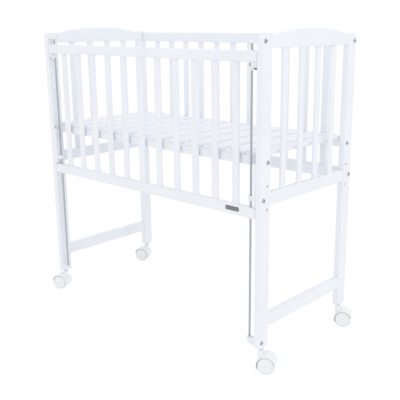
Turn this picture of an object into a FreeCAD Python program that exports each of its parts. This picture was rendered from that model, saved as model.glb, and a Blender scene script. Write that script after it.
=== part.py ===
import FreeCAD, Part
import math
import os

import Sketcher

# Bedside sleeper crib with one side that slides down on two steel rods.
# Frame: X along the crib's length, the sliding side faces -Y, +Z up.
# The origin is on the floor under the middle of the crib. Millimetres.

DRIVING_SIZES = {
    # overall frame
    "length": 945,
    "width": 443,
    "post_deep": 39,
    "post_thick": 20,
    "post_top": 926,
    "leg_foot": 72,
    "post_crown": 11,
    "edge_bevel": 2,
    "slat_bevel": 1.5,
    "board": 18,
    # slats
    "slat_wide": 22,
    "slat_thick": 8,
    "tenon": 8,
    "side_slats": 11,
    "end_slats": 4,
    # end panels
    "arch_under": 893,
    "arch_foot": 922.5,
    "arch_peak": 942,
    "end_low_under": 483,
    "end_low_high": 35,
    "stretcher_under": 131,
    "stretcher_high": 38,
    # fixed back side
    "back_top_under": 891,
    "back_top_high": 32,
    "back_low_under": 483,
    "back_low_high": 37,
    # sliding side
    "drop_top_under": 859,
    "drop_top_high": 28,
    "drop_low_under": 447.5,
    "drop_low_high": 29.5,
    "drop_setback": 0.5,
    "drop_end_gap": 1,
    "drop_travel": 238,
    # mattress base
    "base_under": 589,
    "base_high": 24,
    "base_thick": 15,
    "base_inset": 27,
    "base_step": 64,
    "lath_thick": 9,
    "lath_wide": 62,
    "lath_end_wide": 40,
    "wide_laths": 10,
    "lath_pitch": 80,
    "lath_reach": 201,
    # guide rods and what holds them
    "rod_round": 3,
    "rod_inset": 22.7,
    "line_inset": 9.5,
    "rod_foot": 87,
    "rod_head": 916,
    "holder_wide": 16,
    "holder_bevel": 0.8,
    "holder_nose": 7.5,
    "holder_top_under": 905,
    "holder_top_high": 17,
    "holder_mid_under": 495,
    "holder_mid_high": 13.5,
    "holder_low_under": 79,
    "holder_low_high": 19,
    "holder_low_wide": 15,
    "holder_heel_high": 7,
    "holder_heel_long": 17.5,
    "holder_corner": 5,
    "strip_thick": 10,
    "strip_wide": 18,
    "strip_under": 480,
    "strip_top": 598,
    "strip_bevel": 1,
    "bolt_top_z": 911,
    "bolt_mid_z": 501,
    "bolt_low_z": 90,
    "bolt_base_z": 601,
    "side_bolt_top_z": 903.5,
    "side_bolt_low_z": 502,
    # guide bushes and catches on the sliding side
    "bush_bore": 3.05,
    "bush_outer": 5,
    "bush_flange": 8,
    "bush_lip": 2.5,
    "catch_under": 838,
    "catch_nose": 3.8,
    "catch_end_gap": 1.3,
    "catch_wide": 17,
    "catch_bolt_z": 843,
    "catch_bolt_round": 2.5,
    "catch_throw": 7,
    "catch_heel_high": 6,
    "catch_heel_long": 5,
    "catch_bevel": 1.5,
    "catch_rod_bore": 3.5,
    "catch_pin_bore": 2.8,
    "catch_hole_round": 2.9,
    "catch_hole_deep": 8,
    "catch_pin_long": 16,
    "catch_pin_gap": 1.5,
    "window_wide": 5,
    "window_high": 9,
    "window_under": 848,
    "slot_wide": 12,
    "slot_high": 3.6,
    "knob_inset": 9,
    "knob_round": 3.4,
    "knob_thick": 3,
    "knob_gap": 0.6,
    "knob_stem_round": 1.4,
    "knob_stem_long": 10,
    # fasteners
    "shank_round": 3,
    "clearance_round": 3.5,
    "head_round": 6,
    "head_high": 3.5,
    "bore_relief": 3,
    "cut_past": 2,
    "bracket_bolt_long": 37,
    "side_bolt_long": 52,
    "joint_thick": 8,
    "joint_long": 14,
    "joint_shoulder": 6,
    # castors
    "stem_round": 4,
    "socket_bore": 4.05,
    "socket_round": 5.5,
    "socket_deep": 36,
    "socket_long": 35,
    "stem_long": 32,
    "collar_round": 6,
    "collar_gap": 0.1,
    "neck_seat": 12,
    "flange_round": 9.5,
    "flange_thick": 2.5,
    "neck_round": 8,
    "neck_top": 66,
    "neck_foot": 50,
    "wheel_round": 25,
    "wheel_inner": 6.5,
    "wheel_outer": 23,
    "wheel_bevel": 2.5,
    "trail": 18,
    "trail_angle": 28,
    "fender_inner": 26.3,
    "fender_outer": 28.6,
    "fender_first": 12,
    "fender_last": 206,
    "fender_lip": 0.5,
    "web_half": 5.5,
    "web_lap": 1,
    "web_rise": 8,
    "web_drop": 9,
    "axle_inset": 0.5,
    "axle_round": 3,
    "hood_bore": 3.06,
}

LEFT, RIGHT = -1, 1
FRONT, BACK = -1, 1
SIDES = {"left": LEFT, "right": RIGHT}
FACES = {"front": FRONT, "back": BACK}

doc = FreeCAD.newDocument("bedside_crib")
sizes = doc.addObject("Spreadsheet::Sheet", "sizes")
for row, (alias, value) in enumerate(DRIVING_SIZES.items(), 1):
    sizes.set(f"A{row}", str(value))
    sizes.setAlias(f"A{row}", alias)
doc.recompute()

nodes = []


def size(expression):
    """Value of an expression over the sheet's aliases."""
    return float(sizes.evalExpression(expression))


def bound(expression):
    """The same expression as another object of the document has to write it."""
    words = []
    word = ""
    for letter in expression + " ":
        if letter.isalpha() or letter == "_":
            word += letter
            continue
        if word:
            words.append(f"sizes.{word}" if word in DRIVING_SIZES else word)
            word = ""
        words.append(letter)
    return "".join(words).strip()


def keep(item, label):
    """Name a finished sub-part, which is then written to a file."""
    item.Label = label
    nodes.append(item)
    return item


def place(item, x="0", y="0", z="0"):
    """Bind an object's position to the sheet."""
    for axis, expression in zip("xyz", (x, y, z)):
        item.setExpression(f".Placement.Base.{axis}", bound(expression))
    return item


def turn(item, axis, angle):
    """Turn an object about an axis through its own origin."""
    item.Placement = FreeCAD.Placement(FreeCAD.Vector(), FreeCAD.Rotation(axis, angle))
    return item


# ---------------------------------------------------------------- sketches

def origin_feature(body, role):
    """The body's own origin plane or axis."""
    return next(f for f in body.Origin.OriginFeatures if f.Role == role)


def sketch_on(body, plane, name):
    """An empty sketch on one of the body's origin planes."""
    sketch = body.newObject("Sketcher::SketchObject", name)
    sketch.AttachmentSupport = (origin_feature(body, plane), [""])
    sketch.MapMode = "FlatFace"
    return sketch


def pin_point(sketch, geometry, point, x, y):
    """Fix a sketch point at two expressions, measured from the sketch origin."""
    for kind, expression in (("DistanceX", x), ("DistanceY", y)):
        value = size(expression)
        if abs(value) < 1e-9:
            axis = -2 if kind == "DistanceX" else -1
            sketch.addConstraint(Sketcher.Constraint("PointOnObject", geometry, point, axis))
            continue
        if value > 0:
            ends, formula = (-1, 1, geometry, point), expression
        else:
            ends, formula = (geometry, point, -1, 1), f"-({expression})"
        index = sketch.addConstraint(Sketcher.Constraint(kind, *ends, abs(value)))
        sketch.setExpression(f"Constraints[{index}]", bound(formula))


def outline(sketch, corners, bows=None):
    """Closed outline through the corners; bows holds a radius for each curved edge.

    A positive radius bows the edge to the right of its direction of travel.
    """
    bows = bows or {}
    spots = [FreeCAD.Vector(size(x), size(y), 0) for x, y in corners]
    edges = []
    for index, start in enumerate(spots):
        end = spots[(index + 1) % len(spots)]
        if index in bows:
            edge = arc_between(start, end, size(bows[index]))
        else:
            edge = Part.LineSegment(start, end)
        edges.append(sketch.addGeometry(edge, False))
    for index, geometry in enumerate(edges):
        following = (index + 1) % len(edges)
        tail = arc_end(sketch, geometry, spots[following])
        head = 3 - arc_end(sketch, edges[following], spots[(following + 1) % len(spots)])
        sketch.addConstraint(
            Sketcher.Constraint("Coincident", geometry, tail, edges[following], head))
    for index, geometry in enumerate(edges):
        start_point = 3 - arc_end(sketch, geometry, spots[(index + 1) % len(spots)])
        pin_point(sketch, geometry, start_point, *corners[index])
        if index in bows:
            radius = abs(size(bows[index]))
            number = sketch.addConstraint(Sketcher.Constraint("Radius", geometry, radius))
            sign = "" if size(bows[index]) > 0 else "-"
            sketch.setExpression(f"Constraints[{number}]", bound(f"{sign}({bows[index]})"))


def arc_between(start, end, radius):
    """Arc of under a half circle, bowed to the right of travel if radius is positive."""
    chord = end - start
    half = chord.Length / 2
    rise = abs(radius) - math.sqrt(radius * radius - half * half)
    right = FreeCAD.Vector(chord.y, -chord.x, 0).normalize()
    middle = start + chord * 0.5 + right * math.copysign(rise, radius)
    return Part.ArcOfCircle(start, middle, end)


def arc_end(sketch, geometry, spot):
    """Number of the end of an edge that lies on a spot: 1 is its start, 2 its end."""
    first = sketch.getPoint(geometry, 1)
    last = sketch.getPoint(geometry, 2)
    return 1 if (first - spot).Length < (last - spot).Length else 2


def add_rectangle(sketch, x, y, wide, high):
    """Rectangle of a width and height about a middle."""
    left, right = f"({x}) - ({wide}) / 2", f"({x}) + ({wide}) / 2"
    low, top = f"({y}) - ({high}) / 2", f"({y}) + ({high}) / 2"
    outline(sketch, [(left, low), (right, low), (right, top), (left, top)])


def ring(sketch, x, y, radius):
    """Circle with its centre and radius bound to the sheet."""
    centre = FreeCAD.Vector(size(x), size(y), 0)
    circle = Part.Circle(centre, FreeCAD.Vector(0, 0, 1), size(radius))
    geometry = sketch.addGeometry(circle, False)
    pin_point(sketch, geometry, 3, x, y)
    number = sketch.addConstraint(Sketcher.Constraint("Radius", geometry, size(radius)))
    sketch.setExpression(f"Constraints[{number}]", bound(radius))


# ---------------------------------------------------------------- features

def new_body(name):
    """An empty body."""
    return doc.addObject("PartDesign::Body", name)


def pad(body, sketch, length):
    """Pad a sketch to both sides by half a length."""
    feature = body.newObject("PartDesign::Pad", sketch.Name + "_pad")
    feature.Profile = sketch
    feature.SideType = "Symmetric"
    feature.setExpression("Length", bound(length))
    doc.recompute()
    return feature


def pocket(body, sketch, length):
    """Cut a sketch out to both sides of its plane by half a length."""
    before = body.Shape.Volume
    feature = body.newObject("PartDesign::Pocket", sketch.Name + "_pocket")
    feature.Profile = sketch
    feature.SideType = "Symmetric"
    feature.setExpression("Length", bound(length))
    doc.recompute()
    if body.Shape.Volume >= before - 1:
        raise RuntimeError(f"{body.Name}: {sketch.Name} cuts nothing")
    return feature


def revolve(body, sketch, axis="Y_Axis"):
    """Turn a sketch all the way round one of the body's axes."""
    feature = body.newObject("PartDesign::Revolution", sketch.Name + "_turned")
    feature.Profile = sketch
    feature.ReferenceAxis = (origin_feature(body, axis), [""])
    feature.Angle = 360
    doc.recompute()
    return feature


def round_edges(body, radius, wanted):
    """Fillet the edges of the body's last feature for which wanted(edge) is true."""
    return ease_edges(body, "PartDesign::Fillet", "Radius", radius, wanted)


def bevel_edges(body, wide, wanted):
    """Chamfer the edges of the body's last feature for which wanted(edge) is true."""
    return ease_edges(body, "PartDesign::Chamfer", "Size", wide, wanted)


def ease_edges(body, kind, measure, amount, wanted):
    """Fillet or chamfer the wanted edges of the body's last feature."""
    base = body.Tip
    names = [f"Edge{i}" for i, edge in enumerate(base.Shape.Edges, 1) if wanted(edge)]
    feature = body.newObject(kind, body.Name + "_eased")
    feature.Base = (base, names)
    feature.setExpression(measure, bound(amount))
    doc.recompute()
    return feature


def along(axis):
    """Test for straight edges that run along an axis, X, Y or Z."""
    place_in_vector = "XYZ".index(axis)

    def test(edge):
        tangent = edge.tangentAt(edge.FirstParameter)
        return edge.Curve.TypeId == "Part::GeomLine" and abs(tangent[place_in_vector]) > 0.99
    return test


PLANE_ACROSS = {"X": "YZ_Plane", "Y": "XZ_Plane", "Z": "XY_Plane"}


def board(name, run, wide, high, length, bevel="edge_bevel"):
    """A board along an axis with its four long edges bevelled, centred on its origin."""
    body = new_body(name)
    sketch = sketch_on(body, PLANE_ACROSS[run], name + "_section")
    add_rectangle(sketch, "0", "0", wide, high)
    pad(body, sketch, length)
    bevel_edges(body, bevel, along(run))
    return body


def add_tenons(body, level, high, length):
    """Give a board along Y a tenon at each end, with a shoulder above and below it."""
    tenon = sketch_on(body, PLANE_ACROSS["Y"], body.Name + "_tenon")
    add_rectangle(tenon, "0", level, "joint_thick", f"{high} - 2 * joint_shoulder")
    pad(body, tenon, f"{length} + 2 * joint_long")
    return body


def slat(name, run, wide, high, length):
    """A thin board with bevelled long edges."""
    return board(name, run, wide, high, length, "slat_bevel")


def row_of(body, pitch, count, axis="X_Axis"):
    """Repeat the whole body in a row of separate solids."""
    pattern = body.newObject("PartDesign::LinearPattern", body.Name + "_row")
    pattern.Originals = [f for f in body.Group if f.TypeId in
                         ("PartDesign::Pad", "PartDesign::Chamfer")]
    pattern.Direction = (origin_feature(body, axis), [""])
    pattern.Mode = "Spacing"
    pattern.setExpression("Offset", bound(pitch))
    pattern.setExpression("Occurrences", bound(count))
    body.Tip = pattern
    doc.recompute()
    return body


AXIS_TURN = {"X": (FreeCAD.Vector(0, 1, 0), 90),
             "Y": (FreeCAD.Vector(1, 0, 0), -90),
             "Z": (FreeCAD.Vector(0, 0, 1), 0)}


def bar(name, axis, radius, length, x, y, z):
    """A round bar along an axis, centred on a point."""
    item = doc.addObject("Part::Cylinder", name)
    item.setExpression("Radius", bound(radius))
    item.setExpression("Height", bound(length))
    turn(item, *AXIS_TURN[axis])
    spot = {"X": x, "Y": y, "Z": z}
    spot[axis] = f"{spot[axis]} - ({length}) / 2"
    return place(item, spot["X"], spot["Y"], spot["Z"])


def group(name, items):
    """Several solids as one object."""
    item = doc.addObject("Part::Compound", name)
    item.Links = items
    return item


def cut(name, base, tools):
    """A piece with its bores and mortises cut out."""
    item = doc.addObject("Part::Cut", name + "_cut")
    item.Base = base
    item.Tool = group(name + "_cutters", tools) if len(tools) > 1 else tools[0]
    return item


def copies(name, original, spots):
    """Linked copies of one body, each with a turn about Z and a bound place."""
    links = []
    for number, (x, y, z, angle) in enumerate(spots, 1):
        link = doc.addObject("App::Link", f"{name}_{number}")
        link.LinkedObject = original
        link.LinkTransform = False
        turn(link, FreeCAD.Vector(0, 0, 1), angle)
        links.append(place(link, x, y, z))
    return group(name, links)


# ---------------------------------------------------------------- shared places

def signed(sign, expression):
    """An expression on the left or right, or at the front or back."""
    return f"{sign} * ({expression})"


POST_X = "length / 2 - post_thick / 2"
POST_Y = "width / 2 - post_deep / 2"
INNER_X = "length / 2 - post_thick"
ROD_X = "length / 2 - post_thick - rod_inset"
LINE_Y = "width / 2 - line_inset"
BASE_Y = "width / 2 - base_inset"
CLEAR_LENGTH = "length - 2 * post_thick"
END_LENGTH = "width - 2 * post_deep"
SIDE_PITCH = "(length - 2 * post_thick) / (side_slats + 1)"
END_PITCH = "(width - 2 * post_deep - end_slats * slat_wide) / (end_slats + 1) + slat_wide"
DROP_Y = "-(width / 2 - drop_setback - board / 2)"
BACK_Y = "width / 2 - board / 2"


# ---------------------------------------------------------------- fasteners

def bolt_body(name, length):
    """Socket-head bolt: its head's underside at X = 0, its shank towards -X."""
    body = new_body(name)
    profile = sketch_on(body, "XY_Plane", name + "_profile")
    outline(profile, [(f"-({length})", "0"), (f"-({length})", "shank_round"),
                      ("0", "shank_round"), ("0", "head_round"),
                      ("head_high", "head_round"), ("head_high", "0")])
    revolve(body, profile, "X_Axis")
    return body


def bolts_on_posts(name, original, rows):
    """Bolts on the posts' outer end faces, one for each side of each (y, z) row."""
    spots = []
    for y, z in rows:
        for sign in (LEFT, RIGHT):
            spots.append((signed(sign, "length / 2"), y, z, 0 if sign > 0 else 180))
    return keep(copies(name, original, spots), name)


SIDE_BOLT_ROWS = [(LINE_Y, "side_bolt_top_z"), (LINE_Y, "side_bolt_low_z")]
BASE_BOLT_ROWS = [(signed(sign, BASE_Y), "bolt_base_z") for sign in (FRONT, BACK)]
BRACKET_BOLT_ROWS = [(signed(FRONT, LINE_Y), z)
                     for z in ("bolt_top_z", "bolt_mid_z", "bolt_low_z")]

short_bolt = bolt_body("short_bolt", "bracket_bolt_long")
long_bolt = bolt_body("long_bolt", "side_bolt_long")
bolts_on_posts("bracket_bolts", short_bolt, BRACKET_BOLT_ROWS)
bolts_on_posts("back_side_bolts", long_bolt, SIDE_BOLT_ROWS)
bolts_on_posts("mattress_base_bolts", long_bolt, BASE_BOLT_ROWS)


def rail_bores(rows):
    """Tapped bores in the two ends of a rail, for the long bolts of each (y, z) row."""
    depth = "side_bolt_long - post_thick + bore_relief"
    tools = []
    for y, z in rows:
        for sign in SIDES.values():
            middle = signed(sign, f"{INNER_X} - ({depth}) / 2")
            tools.append(bar("rail_bore", "X", "shank_round", depth, middle, y, z))
    return tools


# ---------------------------------------------------------------- end panels

def arched_rail(name):
    """Top rail of an end panel: straight below, a shallow arch above, a tenon each end."""
    body = new_body(name)
    sketch = sketch_on(body, "YZ_Plane", name + "_profile")
    half = f"({END_LENGTH}) / 2"
    rise = "(arch_peak - arch_foot)"
    radius = f"(({half}) ^ 2 + {rise} ^ 2) / (2 * {rise})"
    outline(sketch, [(f"-{half}", "arch_under"), (half, "arch_under"),
                     (half, "arch_foot"), (f"-{half}", "arch_foot")], {2: radius})
    pad(body, sketch, "board")
    bevel_edges(body, "edge_bevel", lambda edge: not along("X")(edge) and not along("Z")(edge))
    add_tenons(body, "(arch_foot + arch_under) / 2", "arch_foot - arch_under", END_LENGTH)
    return body


def end_panel(side, sign):
    """Two rails with four slats between them, and a stretcher; returns the tenoned rails."""
    slats = slat(f"end_slats_{side}", "Z", "slat_thick", "slat_wide",
                 "arch_under - end_low_under - end_low_high + 2 * tenon")
    row_of(slats, END_PITCH, "end_slats", "Y_Axis")
    place(slats, signed(sign, POST_X), f"-({END_PITCH}) * (end_slats - 1) / 2",
          "(arch_under + end_low_under + end_low_high) / 2")
    keep(slats, f"end_slats_{side}")

    top = place(arched_rail(f"arch_{side}"), signed(sign, POST_X))
    keep(cut(f"end_top_{side}", top, [slats]), f"end_top_rail_{side}")

    low = board(f"end_low_{side}", "Y", "board", "end_low_high", END_LENGTH)
    add_tenons(low, "0", "end_low_high", END_LENGTH)
    place(low, signed(sign, POST_X), "0", "end_low_under + end_low_high / 2")
    keep(cut(f"end_low_{side}", low, [slats]), f"end_bottom_rail_{side}")

    stretcher = board(f"stretcher_{side}", "Y", "board", "stretcher_high", END_LENGTH)
    add_tenons(stretcher, "0", "stretcher_high", END_LENGTH)
    place(stretcher, signed(sign, POST_X), "0", "stretcher_under + stretcher_high / 2")
    keep(stretcher, f"end_stretcher_{side}")
    return [top, low, stretcher]


end_rails = {side: end_panel(side, sign) for side, sign in SIDES.items()}


# ---------------------------------------------------------------- posts

def post_body(name, out):
    """Full-length post; its top is rounded over at the outer corner."""
    body = new_body(name)
    sketch = sketch_on(body, "YZ_Plane", name + "_profile")
    inner, outer = signed(-out, "post_deep / 2"), signed(out, "post_deep / 2")
    crown = signed(out, "post_deep / 2 - post_crown")
    outline(sketch, [(inner, "leg_foot"), (outer, "leg_foot"),
                     (outer, "post_top - post_crown"), (crown, "post_top"), (inner, "post_top")],
            {2: signed(out, "post_crown")})
    pad(body, sketch, "post_thick")
    foot = size("leg_foot")

    def above_the_foot(edge):
        return edge.BoundBox.ZMax > foot + 1 and not along("X")(edge)
    bevel_edges(body, "edge_bevel", above_the_foot)
    return body


def post_bores(side, face, sign, out):
    """Bolt holes, the two spare heights of the base, catch holes and the castor's socket."""
    x = signed(sign, POST_X)
    through = "post_thick + cut_past"
    if face == "front":
        levels = ["bolt_top_z", "bolt_mid_z", "bolt_low_z"]
    else:
        levels = ["side_bolt_top_z", "side_bolt_low_z"]
    spots = [(LINE_Y, level) for level in levels]
    spots += [(BASE_Y, f"bolt_base_z - {step} * base_step") for step in range(3)]
    tools = [bar("post_bore", "X", "clearance_round", through, x, signed(out, y), z)
             for y, z in spots]
    if face == "front":
        for level in ("catch_bolt_z", "catch_bolt_z - drop_travel"):
            tools.append(bar("catch_hole", "X", "catch_hole_round", "2 * catch_hole_deep",
                             signed(sign, INNER_X), signed(out, LINE_Y), level))
    tools.append(bar("socket_hole", "Z", "socket_round", "2 * socket_deep",
                     x, signed(out, POST_Y), "leg_foot"))
    return tools


for face, out in FACES.items():
    for side, sign in SIDES.items():
        blank = post_body(f"post_blank_{face}_{side}", out)
        place(blank, signed(sign, POST_X), signed(out, POST_Y))
        tools = post_bores(side, face, sign, out) + end_rails[side]
        keep(cut(f"post_{face}_{side}", blank, tools), f"post_{face}_{side}")


# ---------------------------------------------------------------- slatted sides

def slatted_side(name, y, top, low, rail_length, extra):
    """Two rails and a row of slats; extra holds more cutters for the two rails."""
    top_under, top_high = top
    low_under, low_high = low
    slats = slat(f"{name}_slats", "Z", "slat_wide", "slat_thick",
                 f"{top_under} - {low_under} - {low_high} + 2 * tenon")
    row_of(slats, SIDE_PITCH, "side_slats")
    place(slats, f"-({SIDE_PITCH}) * (side_slats - 1) / 2", y,
          f"({top_under} + {low_under} + {low_high}) / 2")
    keep(slats, f"{name}_slats")
    for rail, (under, high) in {"top": top, "bottom": low}.items():
        blank = board(f"{name}_{rail}", "X", "board", high, rail_length)
        place(blank, "0", y, f"{under} + {high} / 2")
        keep(cut(f"{name}_{rail}", blank, [slats] + extra[rail]), f"{name}_{rail}_rail")


slatted_side("back", BACK_Y, ("back_top_under", "back_top_high"),
             ("back_low_under", "back_low_high"), CLEAR_LENGTH,
             {"top": rail_bores(SIDE_BOLT_ROWS[:1]), "bottom": rail_bores(SIDE_BOLT_ROWS[1:])})


def bush_seats(rail, under, high):
    """Bores through a sliding rail for its two guide bushes."""
    return [bar(f"seat_{rail}_{side}", "Z", "bush_outer", f"{high} + cut_past",
                signed(sign, ROD_X), DROP_Y, f"{under} + {high} / 2")
            for side, sign in SIDES.items()]


slatted_side("drop_side", DROP_Y, ("drop_top_under", "drop_top_high"),
             ("drop_low_under", "drop_low_high"), f"{CLEAR_LENGTH} - 2 * drop_end_gap",
             {"top": bush_seats("top", "drop_top_under", "drop_top_high"),
              "bottom": bush_seats("bottom", "drop_low_under", "drop_low_high")})


def bush_body(name, seat, lip):
    """Flanged bush, turned: its sleeve runs up through a rail, its flange is at Z = 0."""
    body = new_body(name)
    profile = sketch_on(body, "XZ_Plane", name + "_profile")
    edge = signed(lip, "bush_lip")
    corners = [("bush_bore", edge), ("bush_flange", edge), ("bush_flange", "0"),
               ("bush_outer", "0"), ("bush_outer", signed(-lip, seat)),
               ("bush_bore", signed(-lip, seat))]
    outline(profile, corners)
    revolve(body, profile, "Z_Axis")
    return body


lower_bush = bush_body("lower_bush", "drop_low_high", -1)
upper_bush = bush_body("upper_bush", "drop_top_high", 1)
for name, original, z in (("guide_bushes_lower", lower_bush, "drop_low_under"),
                          ("guide_bushes_upper", upper_bush, "drop_top_under + drop_top_high")):
    spots = [(signed(sign, ROD_X), DROP_Y, z, 0) for sign in (LEFT, RIGHT)]
    keep(copies(name, original, spots), name)


# ---------------------------------------------------------------- catches

KNOB_X = f"{INNER_X} - knob_inset"
CATCH_FRONT = f"{DROP_Y} - catch_wide / 2"


def opening(name, wide, deep, high, x, y, z):
    """A square-cornered cutter, from its lowest corner."""
    item = doc.addObject("Part::Box", name)
    for measure, amount in (("Length", wide), ("Width", deep), ("Height", high)):
        item.setExpression(measure, bound(amount))
    return place(item, x, y, z)


def catch_housing(side, sign):
    """Moulded catch under the sliding rail: rod bore, window on the rod, slot for the knob."""
    body = new_body(f"catch_{side}")
    sketch = sketch_on(body, "XZ_Plane", f"catch_{side}_profile")
    inner, outer = f"{ROD_X} - catch_nose", f"{INNER_X} - catch_end_gap"
    outline(sketch, [(signed(sign, inner), "drop_top_under"),
                     (signed(sign, inner), "catch_under + catch_heel_high"),
                     (signed(sign, f"{inner} + catch_heel_long"), "catch_under"),
                     (signed(sign, outer), "catch_under"),
                     (signed(sign, outer), "drop_top_under")])
    pad(body, sketch, "catch_wide")
    bevel_edges(body, "catch_bevel", along("Z"))
    place(body, "0", DROP_Y)

    window = opening(f"window_{side}", "window_wide", "catch_wide / 2", "window_high",
                     f"{signed(sign, ROD_X)} - window_wide / 2", CATCH_FRONT, "window_under")
    slot = opening(f"slot_{side}", "slot_wide", "catch_wide / 2", "slot_high",
                   f"{signed(sign, KNOB_X + ' + catch_throw / 2')} - slot_wide / 2",
                   CATCH_FRONT, "catch_bolt_z - slot_high / 2")
    rod_bore = bar(f"catch_rod_{side}", "Z", "catch_rod_bore", "drop_top_high + catch_wide * 2",
                   signed(sign, ROD_X), DROP_Y, "catch_under")
    reach = "catch_pin_long + catch_throw"
    pin_bore = bar(f"catch_bore_{side}", "X", "catch_pin_bore", reach,
                   signed(sign, f"{outer} + 1 - ({reach}) / 2"), DROP_Y, "catch_bolt_z")
    return keep(cut(f"catch_{side}", body, [rod_bore, pin_bore, window, slot]),
                f"catch_housing_{side}")


def catch_bolt(side, sign):
    """Sliding steel bolt with a thumb knob; its nose enters a hole in the post."""
    pin = bar(f"pin_{side}", "X", "catch_bolt_round", "catch_pin_long",
              signed(sign, f"{INNER_X} - catch_pin_gap - catch_pin_long / 2"), DROP_Y,
              "catch_bolt_z")
    knob_face = f"{DROP_Y} - board / 2 - drop_setback - knob_gap"
    stem = bar(f"knob_stem_{side}", "Y", "knob_stem_round", "knob_stem_long",
               signed(sign, KNOB_X), f"{knob_face} + knob_stem_long / 2", "catch_bolt_z")
    knob = bar(f"knob_{side}", "Y", "knob_round", "knob_thick", signed(sign, KNOB_X),
               f"{knob_face} - knob_thick / 2", "catch_bolt_z")
    whole = doc.addObject("Part::MultiFuse", f"catch_bolt_{side}")
    whole.Shapes = [pin, stem, knob]
    return keep(whole, f"catch_bolt_{side}")


for side, sign in SIDES.items():
    catch_housing(side, sign)
    catch_bolt(side, sign)


# ---------------------------------------------------------------- rods and their holders

def holder_plan(name, sign, arm, under, high):
    """Moulded holder: a round nose about the rod and an arm that widens to the post."""
    body = new_body(name)
    sketch = sketch_on(body, "XY_Plane", name + "_plan")
    nose, half = "holder_nose", "holder_wide / 2"
    outline(sketch, [("0", f"-{nose}"), (signed(sign, arm), f"-({half})"),
                     (signed(sign, arm), half), ("0", nose), (signed(-sign, nose), "0")],
            {3: signed(sign, nose), 4: signed(sign, nose)})
    pad(body, sketch, high)
    bevel_edges(body, "holder_bevel", lambda edge: edge.BoundBox.ZLength < 0.01
                and abs(edge.CenterOfMass.x) < size(arm) - 0.5)
    place(body, signed(sign, ROD_X), signed(FRONT, LINE_Y), f"{under} + {high} / 2")
    return body


def screw_bore(name, sign, level):
    """Blind bore that a bracket bolt screws into."""
    reach = "2 * (bracket_bolt_long - post_thick)"
    return bar(name, "X", "shank_round", reach, signed(sign, INNER_X),
               signed(FRONT, LINE_Y), level)


def rod_and_holders(side, sign):
    """One guide rod, its three holders and the stop strip on the post."""
    y = signed(FRONT, LINE_Y)
    rod = bar(f"rod_{side}", "Z", "rod_round", "rod_head - rod_foot", signed(sign, ROD_X), y,
              "(rod_head + rod_foot) / 2")
    keep(rod, f"guide_rod_{side}")

    top = holder_plan(f"holder_top_{side}", sign, "rod_inset", "holder_top_under",
                      "holder_top_high")
    keep(cut(f"holder_top_{side}", top,
             [rod, screw_bore(f"top_bore_{side}", sign, "bolt_top_z")]),
         f"rod_top_bracket_{side}")

    middle = holder_plan(f"holder_mid_{side}", sign, "rod_inset - strip_thick",
                         "holder_mid_under", "holder_mid_high")
    keep(cut(f"holder_mid_{side}", middle,
             [rod, screw_bore(f"mid_bore_{side}", sign, "bolt_mid_z")]),
         f"rod_middle_bracket_{side}")

    low = new_body(f"holder_low_{side}")
    sketch = sketch_on(low, "XZ_Plane", f"holder_low_{side}_profile")
    nose = f"{ROD_X} - holder_nose"
    crest = "holder_low_under + holder_low_high"
    outline(sketch, [(signed(sign, nose), crest),
                     (signed(sign, nose), "holder_low_under + holder_heel_high"),
                     (signed(sign, f"{nose} + holder_heel_long"), "holder_low_under"),
                     (signed(sign, INNER_X), "holder_low_under"),
                     (signed(sign, INNER_X), crest)])
    pad(low, sketch, "holder_low_wide")
    inner_x = size(nose)
    round_edges(low, "holder_corner", lambda edge: along("Z")(edge)
                and abs(abs(edge.CenterOfMass.x) - inner_x) < 0.1)
    place(low, "0", y)
    keep(cut(f"holder_low_{side}", low,
             [rod, screw_bore(f"low_bore_{side}", sign, "bolt_low_z")]),
         f"rod_bottom_bracket_{side}")

    strip = board(f"strip_{side}", "Z", "strip_thick", "strip_wide", "strip_top - strip_under",
                  "strip_bevel")
    place(strip, signed(sign, f"{INNER_X} - strip_thick / 2"),
          signed(FRONT, "width / 2 - strip_wide / 2"), "(strip_top + strip_under) / 2")
    through = bar(f"strip_bore_{side}", "X", "clearance_round", "strip_thick + cut_past",
                  signed(sign, f"{INNER_X} - strip_thick / 2"), y, "bolt_mid_z")
    keep(cut(f"strip_{side}", strip, [through]), f"post_stop_strip_{side}")


for side, sign in SIDES.items():
    rod_and_holders(side, sign)


# ---------------------------------------------------------------- mattress base

def base_rail(face, out):
    """Long rail of the base, bolted between two posts."""
    blank = board(f"base_{face}", "X", "base_thick", "base_high", CLEAR_LENGTH)
    place(blank, "0", signed(out, BASE_Y), "base_under + base_high / 2")
    row = BASE_BOLT_ROWS[0 if out == FRONT else 1]
    keep(cut(f"base_{face}", blank, rail_bores([row])), f"base_rail_{face}")


def base_laths():
    """Laths across the base: wide ones at an even pitch, a narrow one at each end."""
    level = "base_under + base_high + lath_thick / 2"
    wide = slat("wide_laths", "Y", "lath_wide", "lath_thick", "2 * lath_reach")
    row_of(wide, "lath_pitch", "wide_laths")
    place(wide, "-(wide_laths - 1) / 2 * lath_pitch", "0", level)
    solids = [wide]
    for side, sign in SIDES.items():
        narrow = slat(f"narrow_lath_{side}", "Y", "lath_end_wide", "lath_thick",
                      "2 * lath_reach")
        middle = "((wide_laths + 1) * lath_pitch - lath_wide + lath_end_wide) / 2"
        solids.append(place(narrow, signed(sign, middle), "0", level))
    keep(group("laths", solids), "base_laths")


for face, out in FACES.items():
    base_rail(face, out)
base_laths()


# ---------------------------------------------------------------- castors

def castor_socket():
    """Flanged sleeve for a leg's foot, turned; its flange lies under the foot at Z = 0."""
    body = new_body("socket")
    profile = sketch_on(body, "XZ_Plane", "socket_profile")
    outline(profile, [("socket_bore", "-flange_thick"), ("flange_round", "-flange_thick"),
                      ("flange_round", "0"), ("socket_round", "0"),
                      ("socket_round", "socket_long"), ("socket_bore", "socket_long")])
    revolve(body, profile, "Z_Axis")
    return body


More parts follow.
